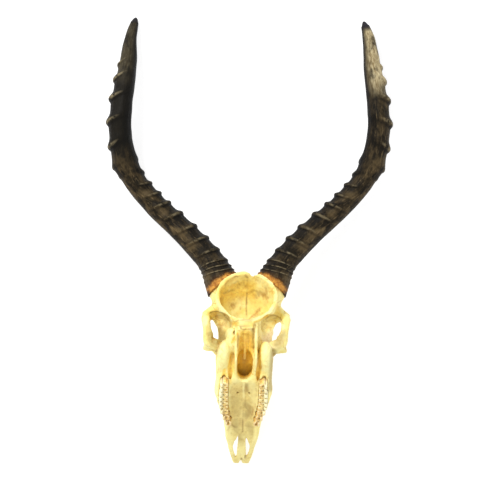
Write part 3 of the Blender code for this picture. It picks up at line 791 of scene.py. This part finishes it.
def bone_masks(mesh, field, points):
    """Where each colour and mark of the bone lies; above zero is on it."""
    x, a, d = points.T
    plan = np.stack((x, along_floor(a, d)), axis=-1)
    mirrored = points * (-1, 1, 1)
    close = relax(mesh, field.solid_near(points, 4.2), 1)
    wide = relax(mesh, field.solid_near(points, 16), 3)
    vault = in_ball(points, BRAIN, 1.22)
    pale = in_ball(points, PALE_PATCH, 1.6)
    pale = np.clip(pale * 1.2 + 0.5 * noise(points, 6, 77), 0, 1) * ramp(6, 14, x)
    # the top of the vault is painted paler as well: painted light
    pale = np.maximum(pale, 0.55 * in_ball(points, VAULT_TOP_LIGHT, 1.5))
    golden = vault * ramp(-196, -210, a) * ramp(44, 60, d) * (1 - 0.75 * pale)
    inside = vault * (d > 55)
    outside = 1 - inside
    below = ramp(-206, -200, a) * ramp(16, 11, d)
    # Dark lines: the seams between the bones, and marks drawn on the ground plan, partly painted
    # shadow in creases.
    seam = [near_chain(p, chain, 1.6) for chain in SEAMS for p in (points, mirrored)]
    seam += [drawn(plan, VAULT_LINES, inside), drawn(plan, PALATE_LINES, below),
             drawn(plan, BROW_LINES, (d < 88) * outside), drawn(plan, GROOVE_LINES, d < 60)]
    cream = np.maximum(drawn(plan, PALE_LINES, below),
                       drawn(plan, BROW_PALE_LINES, (d < 70) * outside))
    shadow = np.maximum(drawn(plan, OLIVE_LINES, below), drawn(plan, CHEEK_SHADES, d < 45))
    channel = in_ball(points, CHANNEL, 1.4) * ramp(11.2, 9.2, np.abs(x - 0.6))
    stain = [near_chain(points, RIGHT_GROOVE, 5.6), near_chain(mirrored, LEFT_GROOVE, 5.2),
             0.9 * channel, near_chain(points, VOMER, 4.0),
             0.9 * near_chain(mirrored, LEFT_MARK, 3.2), drawn(plan, GOLD_LINES, d < 90) * outside]
    collar = []
    for side in SIDES:
        start, along, _ = horn_base(side)
        s = (points - start) @ along
        r = np.linalg.norm(points - start - s[:, None] * along, axis=1)
        collar.append(ramp(-9, 0, s) * ramp(36, 30, r))
    throat = in_ball(points, CHOANA, 1.2) * ramp(5, 9, d) * ramp(-172, -164, a)
    nose = ramp(1.5, -1.0, nose_section(x, d, *table_reader(NOSE)(a)))
    nose = nose * (d > 4) * ramp(-160, -152, a)
    scrolls = (np.abs(x) < 20) * ramp(14, 18, d) * ramp(44, 40, d)
    scrolls = scrolls * ramp(-160, -154, a) * ramp(-96, -104, a)
    deep = np.maximum.reduce([throat, nose, scrolls]) * (1 - near_chain(points, VOMER, 3.4))
    # the eye sockets and the hollow under their arch, coloured as painted shade on the left and
    # painted light on the right
    olive = np.maximum(in_ball(points, EYE, 1.18), 0.6 * in_ball(points, ARCH_GAP, 1.2))
    palate = ramp(19 + 3 * noise(points, 11, 31), 13, np.abs(x)) * ramp(9, 5, d)
    palate = palate * ramp(-142, -132, a) * (0.7 + 0.3 * ramp(-30, -60, a))
    vein = np.abs(noise(points + 3 * noise(points, 6, 12)[:, None], 11, 13))
    vein = ramp(0.10, 0.0, vein) * ramp(-0.1, 0.4, noise(points, 15, 14))
    seam, stain = np.maximum.reduce(seam), np.maximum.reduce(stain) * (1 - 0.6 * cream)
    # Painted shade: darker where more bone closes round a point, in narrow crevices and in broad
    # hollows. Painted highlight: lighter on thin edges that stand out.
    return {"crevice_shade": (close - 0.545) * 5, "edge": (0.44 - close) * 4, "wide": (wide - 0.36) * 2.6,
            "golden": golden, "collar": np.maximum(*collar), "deep": deep, "palate": palate,
            "olive": olive * (np.abs(x) > 12), "seam": seam, "cream": cream, "shadow": shadow,
            "stain": stain, "right": ramp(8, 18, x), "vein": vein}


# ---- horn sheaths
def read(table, s):
    """Value at a distance along the horn."""
    return np.interp(s, *np.array(table, float).T)


def ring_relief(s, turn):
    """Height of the rings at a distance and an angle, and how much of a crest it is."""
    spread = np.deg2rad(read(RING_SIDE, s))
    facing = (1 + np.cos(turn - spread)) / 2
    along = s - read(RING_TILT, s) * (1 - np.cos(turn - spread))
    last = len(RING_CRESTS) - 0.5
    place = np.interp(along, RING_CRESTS, np.arange(last), left=-0.5, right=last)
    u = place - np.round(place)
    crest = (0.5 + 0.5 * np.cos(2 * np.pi * (u + 0.05 * np.sin(2 * np.pi * u)))) ** 1.35
    all_round = ramp(60, 20, s)
    share = facing ** 1.1 * (1 - all_round) + (0.55 + 0.45 * facing) * all_round
    height = read(RING_HEIGHTS, s) * share
    # A narrow groove on the base side of each crest: cut into the surface, and painted near black
    # as a painted shadow under each ring.
    groove_and_shade = np.exp(-((u + 0.2) / 0.075) ** 2) * (0.35 + 0.65 * facing) * (height > 0.1)
    line = np.exp(-((u + 0.03) / 0.1) ** 2) * share
    return height * (crest - 0.35) - 0.22 * height * groove_and_shade, line, groove_and_shade


def sheath_widths(s, length):
    """Diameter along a sheath, smoothed but for its end, where it is rounded off."""
    kernel = np.hanning(int(24 / SHEATH_STEP))
    kernel /= kernel.sum()
    pad = len(kernel) // 2
    uniform = np.arange(0, length, SHEATH_STEP)
    padded = np.pad(read(HORN_DIAMETERS, uniform), pad, mode="reflect", reflect_type="odd")
    smooth = np.interp(s, uniform, np.convolve(padded, kernel, "same")[pad:-pad])
    width = np.where(s < length - 16, smooth, read(HORN_DIAMETERS, s))
    tip = length - s
    blunt = 2 * np.sqrt(np.maximum(tip, 0) * TIP_WIDTH)
    return np.where(tip < 8, np.minimum(width, blunt), width)


def build_sheath(side, material, seed, length, lean):
    """Sheath of that length, whose upper half leans that far to the animal's right."""
    run, chain, ahead, across, depth = horn_frames()
    run = np.concatenate(([-RUN_BELOW], run))
    chain = np.concatenate(([chain[0] - RUN_BELOW * ahead[0]], chain))
    across, depth = (np.concatenate((v[:1], v)) for v in (across, depth))
    sides = SHEATH_SIDES
    body = length - POINT_LENGTH
    s = np.concatenate((np.arange(0, body, SHEATH_STEP),
                        body + POINT_LENGTH * np.sin(np.linspace(0, np.pi / 2, 9))))
    turn = np.linspace(0, 2 * np.pi, sides, endpoint=False)
    S, T = np.meshgrid(s, turn, indexing="ij")
    width = sheath_widths(s, length)[:, None]
    relief, crest, groove_and_shade = ring_relief(S, T)
    bend = np.exp(-((S - BEND) / 13) ** 2) * (0.5 + 0.5 * np.cos(T - np.deg2rad(BEND_ANGLE))) ** 2
    straight = np.stack((S, np.cos(T) * width / 2, np.sin(T) * width / 2), axis=-1)
    lumps = noise(straight, 14, seed) * 0.45
    fibres = straight / (26, 1, 1)
    ribs = noise(fibres, 1.9, seed + 1) * 0.16 + noise(fibres, 4.0, seed + 2) * 0.22
    fade = (ramp(0, 20, length - s) * ramp(-4, 22, s))[:, None]
    radius = width / 2 + (relief + 3.6 * bend) + (lumps + ribs) * fade
    radius[-1] = 0
    circle = 20 * np.stack((np.cos(turn), np.sin(turn), 0 * turn), axis=-1)
    ragged = noise(circle, 9, seed + 3)
    widest = HORN_DIAMETERS[0][1] / 2
    rim = RIM_START + RIM_TILT * np.cos(turn) * widest + 0.35 * ragged

    def place(distance, r):
        """Points round the curve, with the rim's tilt and the lean of the upper half."""
        at = distance + rim * ramp(22, 0, distance)
        centre, side_way, deep_way = (
            np.stack([np.interp(at, run, column) for column in rows.T], axis=-1)
            for rows in (chain, across, depth))
        t = T[:len(at), :, None]
        sway = ramp(110, 290, distance) * (1 - 0.6 * ramp(330, 400, distance))
        points = centre + r[..., None] * (np.cos(t) * side_way + np.sin(t) * deep_way)
        return points, side * lean * sway[..., None] * np.array((1, 0, 0))

    inner_s = np.concatenate((np.arange(0, 12, SHEATH_STEP), np.arange(12, CORE_LENGTH + 2, 4.0)))
    hollow = (widest - SHEATH_WALL) * (1 - np.minimum(inner_s / CORE_LENGTH, 1)) ** 0.8
    hollow = np.minimum(hollow + 2.4 * inner_s / CORE_LENGTH,
                        np.interp(inner_s, s, width[:, 0]) / 2 - SHEATH_WALL)
    inner_s, hollow = (np.repeat(v[:, None], sides, axis=1) for v in (inner_s, hollow))
    inner, inner_lean = place(inner_s, hollow)
    outer, outer_lean = place(S, radius)
    number = np.arange((len(inner) + len(outer)) * sides).reshape(-1, sides)
    point = number[-1, 0]                    # the last ring is one vertex, the point of the horn
    deep_end = point + 1                     # and one more closes the hollow

    def by_vertex(within, without, end):
        """The inner rings from the deep end, the outer rings, and the vertex in the deep end."""
        rows = np.concatenate((within[::-1], without))
        return np.concatenate((rows.reshape(-1, *rows.shape[2:])[:deep_end], [end]))

    def fan(one, other, tip):
        return np.stack((one, other, np.full(sides, tip)), axis=-1).tolist()

    p, q = number[:-2], number[1:-1]
    quads = np.stack((p, np.roll(p, -1, axis=1), np.roll(q, -1, axis=1), q), axis=-1)
    faces = quads.reshape(-1, 4).tolist() + fan(q[-1], np.roll(q[-1], -1), point)
    faces += fan(np.roll(p[0], -1), p[0], deep_end)
    if side < 0:
        faces = [f[::-1] for f in faces]
    points = by_vertex(inner + inner_lean, outer + outer_lean, inner[-1].mean(axis=0))
    along = by_vertex(inner_s, S, CORE_LENGTH)
    angle = by_vertex(T[:len(inner)], T, 0)
    thick = by_vertex(hollow, radius, 0)
    points = (points * (side, 1, 1) + HORN_OFFSET) * MM
    piece = make_piece("horn_sheath_" + SIDES[side], points, faces, material)
    set_masks(piece.data, {
        "along": along, "crest": by_vertex(0 * hollow, crest, 0),
        "groove_and_shade": by_vertex(0 * hollow, groove_and_shade, 0),
        "fibre": np.stack((along, np.cos(angle) * thick, np.sin(angle) * thick), axis=-1),
        "facing": np.cos(angle - np.deg2rad(60)) * 0.5 + 0.5, "outer": np.cos(angle)})


# ---- teeth
def tooth_shape(length, width, lobes, side, seed):
    """Crown with a tall outer and a low inner cusp to each lobe, standing towards -d."""
    half_l, half_w, corner = length / 2 - 0.1, width / 2, 2.6     # of the crown's outline
    lobe = length / lobes
    wobble = np.random.default_rng(seed).uniform(-1, 1, 8)

    def distance(x, a, d):
        v, u, h = side * x, a, -d
        base = np.maximum(0, (4.0 - h) / 10.0)
        q_u = np.abs(u) - (half_l - corner - 0.3 * base)
        q_v = np.abs(v) - (half_w - corner - 0.4 * base)
        outline = (np.sqrt(np.maximum(q_u, 0) ** 2 + np.maximum(q_v, 0) ** 2)
                   + np.minimum(np.maximum(q_u, q_v), 0) - corner)
        top = -CROWN_TIP - 0.9
        for i in range(lobes):
            w = u - (i + 0.5) * lobe + length / 2
            # outer cusp, inner cusp and pit: height, middle, width, length, power
            for rise, middle, wide, long, power in (
                    (2.0 + 0.5 * wobble[i], 0.31, 0.15, 0.36, 4),
                    (0.7 + 0.5 * wobble[i + 2], -0.27, 0.17, 0.34, 4),
                    (-1.2 - 0.8 * wobble[i + 4], -0.2, 0.08, 0.16, 2)):
                top = top + rise * np.exp(-(w / (long * lobe)) ** power
                                          - ((v - middle * width) / (wide * width)) ** 2)
        valley = np.exp(-((v - (0.05 + 0.04 * wobble[6]) * width) / 0.95) ** 2)
        top = top - 1.3 * valley
        q = meet(outline, h - top, 0.6)
        q = np.maximum(q, -ROOT_END - h)
        for i in range(lobes + 1):
            seam = u - (i * lobe - length / 2)
            for edge, wide, long in ((-half_w, 0.26, 1.3), (half_w, 0.34, 1.35)):
                notch = np.sqrt((seam / long) ** 2 + ((v - edge) / (wide * width)) ** 2) - 1
                q = meet(q, -notch * long, 0.5)
        return q
    reach = np.array((half_w + 1, half_l + 0.6, 16.0))
    return -reach, reach, distance


def build_tooth(key, length, width, x, a, side, material, seed):
    low = np.array((-width / 2 - 2, -length / 2 - 2, -15))
    field = Field(low, (-low[0], -low[1], 8.5), TOOTH_GRID)
    lobes = 2 if key[0] == "m" else 1
    field.add(tooth_shape(length, width, lobes, side, seed))
    points, quads = largest_part(*field.surface())
    node = "tooth_" + SIDES[side] + "_" + key
    mesh = make_piece(node, points, quads.tolist(), material).data
    close = relax(mesh, field.solid_near(points, 2.6), 2)
    lobe = length / lobes
    across, place = side * points[:, 0] / width, points[:, 1] / lobe + lobes / 2
    between = ramp(1.5, 0.5, np.abs(place - np.round(place)) * lobe)
    off_middle = np.maximum(ramp(0.05, 0.3, across), ramp(-0.2, -0.4, across))
    wobble = np.random.default_rng(seed).uniform(0, 1, 4)
    middle = (place % 1 - 0.5) * lobe + wobble[0] - 0.5
    pit = ramp(1.7, 0.7, np.hypot(middle, (across + 0.08 - 0.1 * wobble[1]) * width * 1.2))
    own = {"p2": 1.0, "p3": 0.9, "p4": 0.45}.get(key, 0.3 * np.random.default_rng(seed).uniform())
    set_masks(mesh, {
        # painted shade in the crevices, and a painted highlight on thin edges
        "crevice_shade": np.clip((close - 0.56) * 3, 0, 1), "edge": np.clip((0.46 - close) * 4, 0, 1),
        "height": -points[:, 2], "outer": side * points[:, 0] / (width / 2),
        "gap": between * off_middle, "pit": pit * (0.45 + 0.55 * wobble[2]),
        "own": np.full(len(points), own)})
    set_places(mesh, points + (side * x, a, 0))


# ---- materials
def colour(red, green, blue):
    """Screen colour 0 to 255 as shader colour."""
    rgb = [c / 255 for c in (red, green, blue)]
    return tuple(c / 12.92 if c <= 0.04045 else ((c + 0.055) / 1.055) ** 2.4 for c in rgb) + (1.0,)


class Paint:
    """A material under construction."""

    def __init__(self, name):
        self.material = bpy.data.materials.new(name)
        self.material.use_nodes = True
        self.tree = self.material.node_tree
        self.shader = self.tree.nodes["Principled BSDF"]
        self.place = self.node("ShaderNodeTexCoord").outputs["Object"]
        self.mm = self.node("ShaderNodeVectorMath", {0: self.place, 1: (1000, 1000, 1000)},
                            operation="MULTIPLY").outputs[0]

    def node(self, kind, inputs=None, **settings):
        made = self.tree.nodes.new(kind)
        for key, value in settings.items():
            setattr(made, key, value)
        for key, value in (inputs or {}).items():
            if isinstance(value, bpy.types.NodeSocket):
                self.tree.links.new(value, made.inputs[key])
            else:
                made.inputs[key].default_value = value
        return made

    def read(self, name, output="Fac"):
        return self.node("ShaderNodeAttribute", attribute_name=name).outputs[output]

    def times(self, a, b):
        return self.node("ShaderNodeMath", {0: a, 1: b}, operation="MULTIPLY").outputs[0]

    def plus(self, a, b):
        return self.node("ShaderNodeMath", {0: a, 1: b}).outputs[0]

    def noise(self, size, detail=3.0, rough=0.55, at=None, stretch=None):
        at = at or self.mm
        if stretch:
            at = self.node("ShaderNodeVectorMath", {0: at, 1: stretch},
                           operation="MULTIPLY").outputs[0]
        return self.node("ShaderNodeTexNoise", {"Vector": at, "Scale": 1.0 / size, "Detail": detail,
                                                "Roughness": rough}).outputs[0]

    def cells(self, size):
        return self.node("ShaderNodeTexVoronoi", {"Vector": self.mm, "Scale": 1.0 / size}
                         ).outputs["Distance"]

    def span(self, value, low, high, to_low=0.0, to_high=1.0):
        return self.node("ShaderNodeMapRange", {0: value, 1: low, 2: high, 3: to_low, 4: to_high}
                         ).outputs[0]

    def spots(self, low, high, *size, **more):
        """Noise between two levels."""
        return self.span(self.noise(*size, **more), low, high)

    def mix(self, share, a, b, kind="MIX"):
        """Blend of two sockets or screen colours."""
        a, b = (colour(*v) if isinstance(v, tuple) else v for v in (a, b))
        made = self.node("ShaderNodeMix", {0: share, 6: a, 7: b}, data_type="RGBA", blend_type=kind)
        return made.outputs[2]

    def layers(self, base, rows):
        """Colours laid one on another, each where its mask or socket is high, at its strength."""
        for share, strength, top in rows:
            share = self.read(share) if isinstance(share, str) else share
            share = share if strength == 1 else self.times(share, strength)
            base = self.mix(share, base, top)
        return base

    def bump(self, height, distance, strength):
        inputs = {"Height": height, "Distance": distance, "Strength": strength}
        return self.node("ShaderNodeBump", inputs).outputs[0]

    def finish(self, base, rough, normal, **fixed):
        """Joins sockets and fixed numbers to the shader."""
        inputs = {"Base Color": base, "Roughness": rough, "Normal": normal}
        inputs.update((key.replace("_", " "), value) for key, value in fixed.items())
        for key, value in inputs.items():
            if isinstance(value, bpy.types.NodeSocket):
                self.tree.links.new(value, self.shader.inputs[key])
            elif value is not None:
                self.shader.inputs[key].default_value = value
        return self.material


def bone_material():
    p = Paint("bone")
    patch = p.spots(0.44, 0.66, 6, 5, 0.65)
    fine = p.spots(0.35, 0.7, 2.4, 3, 0.6)
    gold = p.mix(p.spots(0.36, 0.62, 7, 4, 0.6), (246, 218, 102), (236, 193, 76))
    gold = p.layers(gold, [(p.spots(0.52, 0.68, 3, 3), 0.6, (208, 160, 66))])
    # Eye sockets: an olive painted shade on the left, and a pale pink painted light on the right.
    olive = p.spots(0.35, 0.65, 5, 3, 0.6, stretch=(1, 0.3, 1))
    olive = p.mix(olive, (144, 122, 58), (186, 158, 84))
    socket_shade_and_light = p.mix(p.read("right"), olive, p.mix(patch, (252, 234, 190), (242, 214, 160)))
    palate = p.mix(patch, (240, 217, 134), (210, 185, 108))
    rust = p.mix(p.spots(0.4, 0.66, 4.5, 3), (252, 210, 80), (232, 174, 46))
    # Painted light: the gold of the nose and throat is lighter where more bone closes round it.
    depth = p.mix(p.read("wide"), (206, 156, 48), (255, 210, 62))
    depth = p.mix(p.span(p.noise(6, 3), 0.5, 0.7, 0, 0.5), depth, (190, 136, 40))
    pores = p.span(p.cells(1.5), 0.05, 0.3, 1.0, 0.0)
    dots = p.times(p.span(p.cells(3.2), 0.0, 0.12, 1.0, 0.0), fine)
    base = p.mix(p.spots(0.38, 0.62, 26, 2), (253, 246, 172), (249, 232, 140))
    # Among these layers, the darker broad hollows and crevices are painted shade, and the lighter
    # thin edges are a painted highlight.
    base = p.layers(base, [
        (patch, 0.5, (238, 206, 112)), ("wide", 0.36, (222, 184, 92)),
        ("vein", 0.72, (212, 158, 68)), ("golden", 0.92, gold), ("olive", 0.8, socket_shade_and_light),
        ("palate", 0.8, palate), ("shadow", 1, (176, 154, 88)), ("cream", 1, (252, 238, 160)),
        ("collar", 0.7, (222, 162, 62)), ("crevice_shade", 0.68, (172, 120, 44)), ("stain", 0.85, rust),
        # the dark seam lines are partly painted shadow in creases
        ("seam", p.span(fine, 0, 1, 0.85, 0.45), (134, 92, 34)), ("deep", 0.95, depth),
        ("edge", 0.4, (254, 244, 172)), (p.times(p.read("sawn"), pores), 0.45, (196, 146, 72)),
        (dots, 0.45, (164, 116, 56))])
    height = p.plus(p.noise(1.6, 4, 0.65), p.times(pores, -0.35))
    return p.finish(base, p.span(fine, 0, 1, 0.5, 0.66), p.bump(height, 0.0006, 0.55),
                    Specular_IOR_Level=0.4)


def tooth_material():
    p = Paint("tooth")
    streak = p.noise(2.2, 4, 0.6, stretch=(1, 1, 0.35))
    blotch = p.spots(0.4, 0.6, 3.5, 3)
    base = p.mix(p.span(streak, 0.36, 0.66), (255, 253, 216), (250, 237, 168))
    inner = p.mix(blotch, (250, 228, 150), (230, 188, 96))
    own = p.mix(blotch, (232, 192, 96), (204, 150, 60))
    base = p.layers(base, [
        (p.span(p.read("outer"), 0.25, -0.05), 1, inner), ("own", 0.75, own),
        (p.span(p.read("height"), 7, 2), 0.5, (206, 152, 70)),
        # painted shade in the crevices; the last layer below is a painted highlight on thin edges
        (p.span(p.read("crevice_shade"), 0.15, 0.85), 1, (104, 68, 26)), ("gap", 0.85, (112, 78, 36)),
        ("pit", 0.95, (70, 46, 20)), ("edge", 0.55, (255, 253, 226))])
    return p.finish(base, p.span(streak, 0.3, 0.7, 0.28, 0.5), p.bump(streak, 0.0004, 0.4))


def horn_material(name, tan_from, tan_share, tip_dark, upper_dark):
    """Black keratin, tan from that distance on, with a dark tip, and rust at its open end."""
    p = Paint(name)
    along, fibre = p.read("along"), p.read("fibre", "Vector")
    strand = p.noise(1.4, 4, 0.65, at=fibre, stretch=(0.05, 1, 1))
    blotch = p.noise(11, 4, 0.6, at=fibre, stretch=(0.6, 1, 1))
    fleck = p.noise(2.4, 4, 0.7, at=fibre, stretch=(0.22, 1, 1))
    # Pale on the ring crests: wear, and a painted highlight.
    wear_and_highlight = p.times(p.span(p.read("crest"), 0.25, 0.75), p.spots(0.38, 0.58, 5, 3, 0.6))
    tan = p.mix(p.span(fleck, 0.38, 0.64), (128, 110, 76), (196, 182, 144))
    # Tan keratin towards the tip, only on the face turned up towards the light: its own colour,
    # partly painted light.
    tan_on_lit_face = p.times(p.span(along, tan_from, tan_from + 26),
                   p.span(along, tip_dark + 7, tip_dark - 2))
    tan_on_lit_face = p.times(tan_on_lit_face, p.span(p.read("facing"), 0.45, 0.85))
    tan_on_lit_face = p.times(tan_on_lit_face, p.span(blotch, 0.3, 0.5))
    base = p.mix(p.span(strand, 0.36, 0.66), (14, 11, 6), (36, 29, 16))
    base = p.layers(base, [
        (p.span(blotch, 0.44, 0.64), 0.8, (88, 73, 48)),
        (p.span(fleck, 0.55, 0.7), 0.6, (122, 104, 74)),
        # the near-black groove colour is a painted shadow under each ring
        (p.span(along, 185, 230), upper_dark, (18, 16, 11)), ("groove_and_shade", 0.8, (10, 8, 5)),
        (wear_and_highlight, 0.68, (156, 142, 110)), (tan_on_lit_face, tan_share, tan),
        (p.span(along, tip_dark - 2, tip_dark + 8), 1, (38, 36, 42))])
    shade = p.mix(p.span(p.read("facing"), 0.5, 0.95), (92, 88, 84), (255, 255, 255))
    base = p.mix(1.0, base, shade, "MULTIPLY")
    band = p.plus(along, p.span(blotch, 0.3, 0.7, -2.5, 2.5))
    rust = p.mix(p.spots(0.4, 0.62, 4, 4, 0.65), (208, 150, 66), (150, 94, 40))
    rim = p.times(p.span(p.read("outer"), 0.68, 0.92), p.span(band, 6.0, 3.0))
    rust = p.mix(rim, rust, (52, 32, 16))
    base = p.layers(base, [(p.span(band, 12, 7), 0.22, (112, 64, 26)),
                           (p.span(band, 8.0, 4.5), 1, rust)])
    height = p.plus(strand, p.times(fleck, 0.5))
    return p.finish(base, p.span(fleck, 0.3, 0.7, 0.42, 0.62), p.bump(height, 0.0009, 0.7),
                    Specular_IOR_Level=0.1)


def floor_material():
    p = Paint("floor")
    base = p.mix(p.noise(60, 2), (192, 192, 192), (188, 188, 188))
    return p.finish(base, 0.9, None, Emission_Color=colour(255, 255, 255), Emission_Strength=0.66)


# ---- build
tooth = tooth_material()
build_skull(bone_material())
right_horn = horn_material("horn_right", tan_from=286, tan_share=0.95, tip_dark=382, upper_dark=0.2)
left_horn = horn_material("horn_left", tan_from=300, tan_share=0.1, tip_dark=392, upper_dark=0.95)
build_sheath(1, right_horn, 11, length=399.5, lean=1.0)
build_sheath(-1, left_horn, 21, length=402.5, lean=2.2)
for side in SIDES:
    for index, entry in enumerate(TEETH):
        build_tooth(*entry, side, tooth, 100 + index * 2 + (side > 0))

# ---- floor, light and camera
FLOOR_HALF = 6.0
floor_mesh = bpy.data.meshes.new("floor")
floor_mesh.from_pydata([(x * FLOOR_HALF, y * FLOOR_HALF, 0)
                        for x, y in ((-1, -1), (1, -1), (1, 1), (-1, 1))], [], [(0, 1, 2, 3)])
floor_mesh.materials.append(floor_material())
floor = bpy.data.objects.new("floor", floor_mesh)
bpy.context.scene.collection.objects.link(floor)


def area_light(name, place, size, power, tint):
    """A round lamp in metres and watts, turned towards the middle of the object."""
    lamp = bpy.data.lights.new(name, "AREA")
    lamp.shape, lamp.size, lamp.energy, lamp.color = "DISK", size, power, tint
    holder = bpy.data.objects.new(name, lamp)
    holder.location = place
    aim = Vector((0, 0, 0.05)) - Vector(place)
    holder.rotation_euler = aim.to_track_quat("-Z", "Y").to_euler()
    bpy.context.scene.collection.objects.link(holder)


area_light("key", (-1.0, 1.3, 1.9), 0.9, 44, (1.0, 0.99, 0.96))
area_light("fill", (1.5, -0.6, 1.6), 1.6, 5, (0.97, 0.98, 1.0))
world = bpy.data.worlds.new("studio")
bpy.context.scene.world = world
world.use_nodes = True
WORLD_STRENGTH = 0.78
background = world.node_tree.nodes["Background"]
background.inputs["Color"].default_value = (1, 1, 1, 1)
background.inputs["Strength"].default_value = WORLD_STRENGTH
bpy.context.scene.view_settings.view_transform = "Standard"

SENSOR = 36.0                            # mm
VIEW_WIDTH, VIEW_HEIGHT = 0.6096, 0.05   # metres that the picture takes in at that height
CAMERA_HEIGHT = 3.0                      # metres above that
CAMERA_X, CAMERA_Y = -3.7, 285.7         # mm from the skull's origin
ROLL = 0.5                               # degrees
lens = bpy.data.cameras.new("camera")
lens.sensor_width = SENSOR
lens.lens = SENSOR * CAMERA_HEIGHT / VIEW_WIDTH
camera = bpy.data.objects.new("camera", lens)
camera.location = ((SKULL_OFFSET[0] + CAMERA_X) * MM, (SKULL_OFFSET[1] + CAMERA_Y) * MM,
                   VIEW_HEIGHT + CAMERA_HEIGHT)
camera.rotation_euler = (0, 0, math.radians(ROLL))
bpy.context.scene.collection.objects.link(camera)
bpy.context.scene.camera = camera
